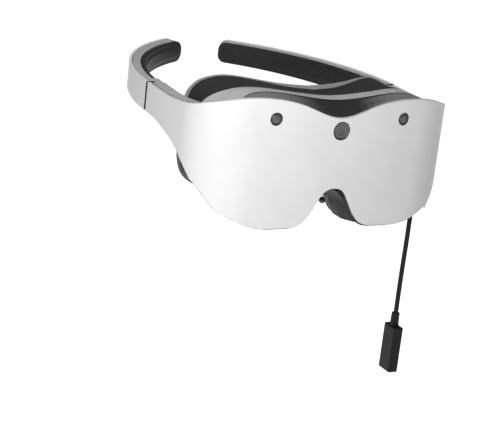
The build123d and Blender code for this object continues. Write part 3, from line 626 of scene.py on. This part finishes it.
def make_face_cushion(skins):
    """Foam in a knitted cover: crowned, with rounded shoulders and a seam."""
    outer = both_sides(smooth_line(MASK_LINE, MASK_STATIONS))
    inner = both_sides(smooth_line(CUSHION_LINE, MASK_STATIONS))
    near = depth_on(RIM_FRONT_LINE)
    far = depth_on(RIM_REAR_LINE)
    clearance = 0.1
    rings = []
    for outer_point, inner_point in zip(outer, inner):
        width = (inner_point - outer_point).length
        across = (inner_point - outer_point) / width
        rear_depth = min(far(outer_point.x), far(inner_point.x))
        thin = rear_depth - max(near(outer_point.x), near(inner_point.x))
        shoulder = min(2.4, 0.55 * max(thin, 2.5))
        inner_front, rear, outer_front = cushion_section(width, shoulder)
        runs = (
            (inner_front, near, clearance),
            (rear, far, 0),
            (outer_front, near, clearance),
        )
        ring = []
        for run, face, gap in runs:
            for inset, offset in run:
                spot = outer_point + across * inset
                ring.append(place(spot.x, face(spot.x) + gap + offset, spot.y))
        rings.append(ring)
    cushion = new_piece(
        "face_cushion_foam",
        *lofted(rings),
        skins["cushion_grey"],
        "headset",
        "cushion_grey",
        ["face_cushion"],
    )
    face_outward(cushion)


def make_face_gasket(skins):
    """A soft rubber wall with a bead along each edge."""
    line = both_sides(smooth_line(MASK_LINE, MASK_STATIONS))
    near = depth_on(FRAME_LINE)
    far = depth_on(RIM_FRONT_LINE)
    gap = 0.2
    wall = 1.3
    bead = 0.35
    bead_width = 0.8
    pinch_depth = 0.25
    frame_thickness = 3.4
    least_length = 2
    steps = 12
    rings = []
    for index, point in enumerate(line):
        out = outward(line, index)
        start = near(point.x) + frame_thickness
        end = max(far(point.x) - 0.1, start + least_length)
        outer, inner = [], []
        for step in range(steps + 1):
            share = step / steps
            depth = blended(start, end, share)
            edge = min(share, 1 - share) * (end - start)
            swell = bead * math.exp(-((edge - bead_width) / bead_width) ** 2)
            pinch = pinch_depth * math.sin(math.pi * share)
            spot = point - out * (gap + bead - swell + pinch)
            outer.append(place(spot.x, depth, spot.y))
            spot = point - out * (gap + wall + swell - bead * 0.5)
            inner.append(place(spot.x, depth, spot.y))
        rings.append(outer + inner[::-1])
    gasket = new_piece(
        "face_gasket_wall",
        *lofted(rings),
        skins["dark_rubber"],
        "headset",
        "dark_rubber",
        ["face_gasket"],
    )
    face_outward(gasket)


def nose_station(depth):
    """Half width, crown and foot of the nose tunnel at a depth."""
    for near, far in zip(NOSE_STATIONS, NOSE_STATIONS[1:]):
        if depth <= far[0]:
            share = (depth - near[0]) / (far[0] - near[0])
            return [blended(a, b, share) for a, b in zip(near[1:], far[1:])]
    return NOSE_STATIONS[-1][1:]


def make_nose_seal(skins):
    """The soft arch over the nose, with rounded lips."""
    wall = 1.2
    steps = 14
    lip_depth = 0.35
    lip_width = 1.0
    first = NOSE_STATIONS[0][0]
    last = NOSE_STATIONS[-1][0]
    depths = [blended(first, last, step / steps) for step in range(steps + 1)]
    rings = []
    for u, v in smooth_line(NOSE_ARCH, 61):
        outer, inner = [], []
        for depth in depths:
            half, crown, foot = nose_station(depth)
            front_lip = math.exp(-(((depth - first) / lip_width) ** 2))
            rear_lip = math.exp(-(((last - depth) / lip_width) ** 2))
            lip = lip_depth * (front_lip + rear_lip)
            outer.append(place(u * (half - lip), depth, foot + v * (crown - lip - foot)))
            inset = wall - lip
            inner.append(place(u * (half - inset), depth, foot + v * (crown - inset - foot)))
        rings.append(outer + inner[::-1])
    seal = new_piece(
        "nose_seal_arch",
        *lofted(rings),
        skins["dark_rubber"],
        "headset",
        "dark_rubber",
        ["nose_seal"],
    )
    face_outward(seal)


def make_nose_pads(skins):
    """Dished rubber pads on the wire arms."""
    tilt = math.radians(NOSE_PAD_TILT)
    segments = 48
    for side, sign in (("left", 1), ("right", -1)):
        low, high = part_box(f"nose_pad_{side}")
        middle = (low + high) / 2
        normal = Vector((-math.cos(tilt) * sign, 0, -math.sin(tilt)))
        upright = normal.cross(AXIS_Y).normalized()
        rings = []
        for reach, level in NOSE_PAD_PROFILE:
            ring = []
            for step in range(segments):
                angle = math.tau * step / segments
                sideways = AXIS_Y * (NOSE_PAD_HALF_DEPTH * reach * math.cos(angle))
                height = upright * (NOSE_PAD_HALF_HEIGHT * reach * math.sin(angle))
                lift = normal * NOSE_PAD_THICKNESS * level
                ring.append(middle + (sideways + height + lift) * MM)
            rings.append(ring)
        pad = new_piece(
            f"nose_pad_rubber_{side}",
            *lofted(rings),
            skins["nose_grey"],
            "headset",
            "nose_grey",
            [f"nose_pad_{side}"],
        )
        face_outward(pad)


def rounded_by(radius, distance):
    """How far a rounded end of a strip draws in, at a distance from that end."""
    return radius - math.sqrt(radius**2 - max(radius - distance, 0.0) ** 2)


def temple_pad_section(half, from_end):
    """A pad's section: radius from the temple's middle, height from the pad's."""
    outer_radius, inner_radius = PAD_ARC
    edge = 1.1
    edge_steps = 5
    border_drop = 0.9
    border_width = 2.0
    slope_width = 2.2
    corner = 6.0
    across_steps = 30
    rear_inset = 0.2
    rear_steps = 4
    upper_edge = []
    for step in range(edge_steps + 1):
        turn = math.radians(90 * step / edge_steps)
        radius = inner_radius + border_drop + edge * (1 - math.sin(turn))
        upper_edge.append((radius, half - edge * (1 - math.cos(turn))))
    face = []
    for step in range(1, across_steps):
        height = blended(half - edge, edge - half, step / across_steps)
        near_edge = max(corner - (half - abs(height)), 0.0)
        near_end = max(corner - from_end, 0.0)
        inside = corner - math.hypot(near_edge, near_end)
        drop = border_drop * (1 - eased((inside - border_width) / slope_width))
        face.append((inner_radius + drop, height))
    lower_edge = [(radius, -height) for radius, height in reversed(upper_edge)]
    rear = []
    for step in range(rear_steps + 1):
        rear.append((outer_radius, blended(rear_inset - half, half - rear_inset, step / rear_steps)))
    return upper_edge + face + lower_edge + rear


def make_temple_pads(skins):
    """Soft pads with a raised middle inside a lower border."""
    outer_radius, inner_radius = PAD_ARC
    start, end = PAD_ANGLES
    tip_round = 4.6
    front_round = 1.2
    stations = 120
    crowding = 1.5
    arc = math.radians(end - start) * inner_radius
    for side, sign in (("left", 1), ("right", -1)):
        rings = []
        for index in range(stations + 1):
            # stations crowd together towards the rounded tip
            share = 1 - (1 - index / stations) ** crowding
            angle = math.radians(blended(start, end, share))
            to_tip = (1 - share) * arc
            to_front = share * arc
            behind_hinge = outer_radius * math.sin(angle)
            top = PAD_TOP[0] + PAD_TOP[1] * behind_hinge
            foot = PAD_FOOT[0] + PAD_FOOT[1] * behind_hinge
            shrink = rounded_by(tip_round, to_tip) + rounded_by(front_round, to_front)
            middle = (top + foot) / 2
            ring = []
            for radius, height in temple_pad_section((top - foot) / 2 - shrink, min(to_tip, to_front)):
                x = TEMPLE_MIDDLE[0] + radius * math.cos(angle)
                y = TEMPLE_MIDDLE[1] + radius * math.sin(angle)
                ring.append(place(sign * x, y, middle + height))
            rings.append(ring)
        pad = new_piece(
            f"temple_pad_foam_{side}",
            *lofted(rings),
            skins["dark_rubber"],
            f"temple_{side}",
            "dark_rubber",
            [f"temple_pad_{side}"],
        )
        face_outward(pad)


# ------------------------------------------------------------ cord
def revolved(middle, axis, profile, segments=48):
    """A round body from distances along its axis and radii, in millimetres."""
    axis = axis.normalized()
    across = axis.orthogonal().normalized()
    other = axis.cross(across)
    rings = []
    for along, radius in profile:
        ring = []
        for step in range(segments):
            angle = math.tau * step / segments
            out = across * math.cos(angle) + other * math.sin(angle)
            ring.append(middle + (axis * along + out * radius) * MM)
        rings.append(ring)
    return lofted(rings)


def make_cord(skins):
    """The cord as a tube along its route, with its sleeve above the connector."""
    data = bpy.data.curves.new("cord_line", "CURVE")
    data.dimensions = "3D"
    data.bevel_depth = CORD_DIAMETER / 2 * MM
    data.bevel_resolution = 6
    data.use_fill_caps = True
    data.resolution_u = 16
    spline = data.splines.new("NURBS")
    spline.points.add(len(CORD_ROUTE) - 1)
    for point, spot in zip(spline.points, CORD_ROUTE):
        point.co = (*place(*spot), 1)
    spline.order_u = 3
    spline.use_endpoint_u = True
    data.materials.append(skins["cord_black"].material)
    cord = bpy.data.objects.new("cord_line", data)
    bpy.context.collection.objects.link(cord)
    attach(cord, "headset")
    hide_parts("cord")
    relief = make_cord_relief(skins)


def make_cord_relief(skins):
    """The plain sleeve above the connector, with rounded ends."""
    low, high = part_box("cord_relief")
    middle = Vector(((low.x + high.x) / 2, (low.y + high.y) / 2, low.z))
    length = (high.z - low.z) / MM
    foot_radius, top_radius = 2.65, 2.4
    foot_edge = 0.25
    edge = 0.7
    steps = 8
    profile = [(0.0, foot_radius - foot_edge), (foot_edge, foot_radius), (length - edge, top_radius)]
    for step in range(1, steps + 1):
        turn = math.radians(90 * step / steps)
        along = length - edge * (1 - math.sin(turn))
        profile.append((along, top_radius - edge * (1 - math.cos(turn))))
    relief = new_piece(
        "cord_relief_sleeve",
        *revolved(middle, AXIS_Z, profile),
        skins["cord_black"],
        "headset",
        "cord_black",
        ["cord_relief"],
    )
    return face_outward(relief)


# ------------------------------------------------------------ cameras
def make_camera_window(skins, name, rings, bright_share):
    """A stepped disc in its hole in the panel, black beyond its bright middle."""
    window = frame["nodes"][f"camera_window_{name}"]
    normal = min(window.data.polygons, key=lambda face: face.normal.y).normal.copy()
    low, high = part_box(f"camera_window_{name}")
    middle = (low + high) / 2
    corners = [vertex.co - middle for vertex in window.data.vertices]
    face_level = max(corner.dot(normal) for corner in corners) / MM
    back_level = min(corner.dot(normal) for corner in corners) / MM
    radius = max((corner - normal * corner.dot(normal)).length for corner in corners) / MM
    edge = 0.12
    profile = [(back_level, radius), (face_level - edge, radius), (face_level, radius - edge)]
    profile += [(face_level + lift, radius * share) for share, lift in rings]
    piece = new_piece(
        f"camera_lens_{name}",
        *revolved(middle, normal, profile, 64),
        skins["camera_glass"],
        "headset",
        "camera_glass",
        [f"camera_window_{name}"],
    )
    face_outward(piece)
    piece.data.materials.append(skins["black_plastic"].material)
    for polygon in piece.data.polygons:
        offset = polygon.center - middle
        reach = (offset - normal * offset.dot(normal)).length / MM
        if reach > radius * bright_share:
            polygon.material_index = 1


# ------------------------------------------------------------ scene
make_camera()
bpy.context.scene.view_settings.view_transform = "Standard"
make_world()
for light_values in LIGHTS:
    make_light(*light_values)
make_floor()

skins = materials()
paint_nodes(skins)
make_cord(skins)
make_face_cushion(skins)
make_face_gasket(skins)
make_nose_seal(skins)
make_nose_pads(skins)
make_temple_pads(skins)
make_camera_window(skins, "centre", CENTRE_RINGS, 0.9)
make_camera_window(skins, "left", SIDE_RINGS, 0.66)
make_camera_window(skins, "right", SIDE_RINGS, 0.66)
